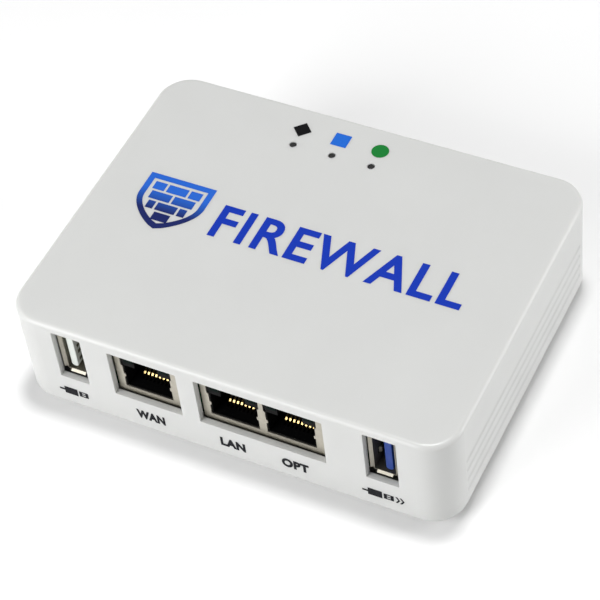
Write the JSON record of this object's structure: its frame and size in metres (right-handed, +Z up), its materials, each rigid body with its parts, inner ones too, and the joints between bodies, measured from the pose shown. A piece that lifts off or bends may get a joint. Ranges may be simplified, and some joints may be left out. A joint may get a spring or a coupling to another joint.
{
  "type": "firewall appliance",
  "caption": "Small desktop firewall appliance: white rounded case with network and USB sockets in front, grooved sides, top indicators, and power inlet, console socket and reset switch behind.",
  "frame": {"origin": "centre of the underside, on the surface that the feet stand on", "axes": "+X to the right along the front, +Y from the front (sockets) to the back, +Z up"},
  "size_m": [0.114, 0.087, 0.0305],
  "materials": {
    "base_plastic": "fine matt texture",
    "black_plastic": "satin",
    "board_laminate": "solder mask",
    "capacitor_can": "brushed",
    "capacitor_ceramic": "satin",
    "case_plastic": "satin",
    "chip_epoxy": "matt",
    "crystal_can": "satin",
    "foot_rubber": "matt",
    "gold_contact": "gold plated",
    "heat_sink_aluminium": "black anodised",
    "inductor_ferrite": "matt",
    "lamp_resin": "satin",
    "lamp_tint": "translucent",
    "light_pipe_acrylic": "smoked",
    "plated_screen": "nickel plated",
    "plunger_plastic": "satin",
    "push_pin_plastic": "satin",
    "screw_steel": "zinc plated",
    "thermal_pad_silicone": "matt",
    "transformer_plastic": "matt",
    "usb2_tongue_plastic": "satin",
    "usb3_tongue_plastic": "satin"
  },
  "bodies": {
    "appliance": {"base_cover": "base_plastic", "board_screws": "screw_steel", "can_capacitors": "capacitor_can", "case_screws": "screw_steel", "chip_capacitors": "capacitor_ceramic", "clock_crystal": "crystal_can", "console_socket_contacts": "gold_contact", "console_socket_screen": "plated_screen", "console_socket_tongue": "black_plastic", "flash_chip": "chip_epoxy", "heat_sink": "heat_sink_aluminium", "heat_sink_push_pins": "push_pin_plastic", "lan_contacts": "gold_contact", "lan_opt_socket_insert": "black_plastic", "lan_opt_socket_lamp_windows": "lamp_tint", "lan_opt_socket_screen": "plated_screen", "lan_transformer": "transformer_plastic", "light_pipe_left": "light_pipe_acrylic", "light_pipe_middle": "light_pipe_acrylic", "light_pipe_right": "light_pipe_acrylic", "main_board": "board_laminate", "memory_chips": "chip_epoxy", "network_switch_chip": "chip_epoxy", "opt_contacts": "gold_contact", "opt_transformer": "transformer_plastic", "power_controller_chip": "chip_epoxy", "power_inductors": "inductor_ferrite", "power_inlet_housing": "black_plastic", "power_inlet_pin": "gold_contact", "power_inlet_spring": "gold_contact", "processor": "chip_epoxy", "reset_switch_body": "black_plastic", "rubber_foot_front_left": "foot_rubber", "rubber_foot_front_right": "foot_rubber", "rubber_foot_rear_left": "foot_rubber", "rubber_foot_rear_right": "foot_rubber", "status_lamps": "lamp_resin", "thermal_pad": "thermal_pad_silicone", "upper_case": "case_plastic", "usb2_contacts": "gold_contact", "usb2_screen": "plated_screen", "usb2_tongue": "usb2_tongue_plastic", "usb3_contacts": "gold_contact", "usb3_fast_contacts": "gold_contact", "usb3_screen": "plated_screen", "usb3_tongue": "usb3_tongue_plastic", "wan_contacts": "gold_contact", "wan_socket_insert": "black_plastic", "wan_socket_lamp_windows": "lamp_tint", "wan_socket_screen": "plated_screen", "wan_transformer": "transformer_plastic"},
    "reset_button": {"reset_plunger": "plunger_plastic"}
  },
  "joints": [
    {"name": "reset_press", "type": "slide", "parent": "appliance", "child": "reset_button", "axis": [0, -1, 0], "range_m": [0, 0.0003], "stiffness_N_per_m": 4000}
  ]
}
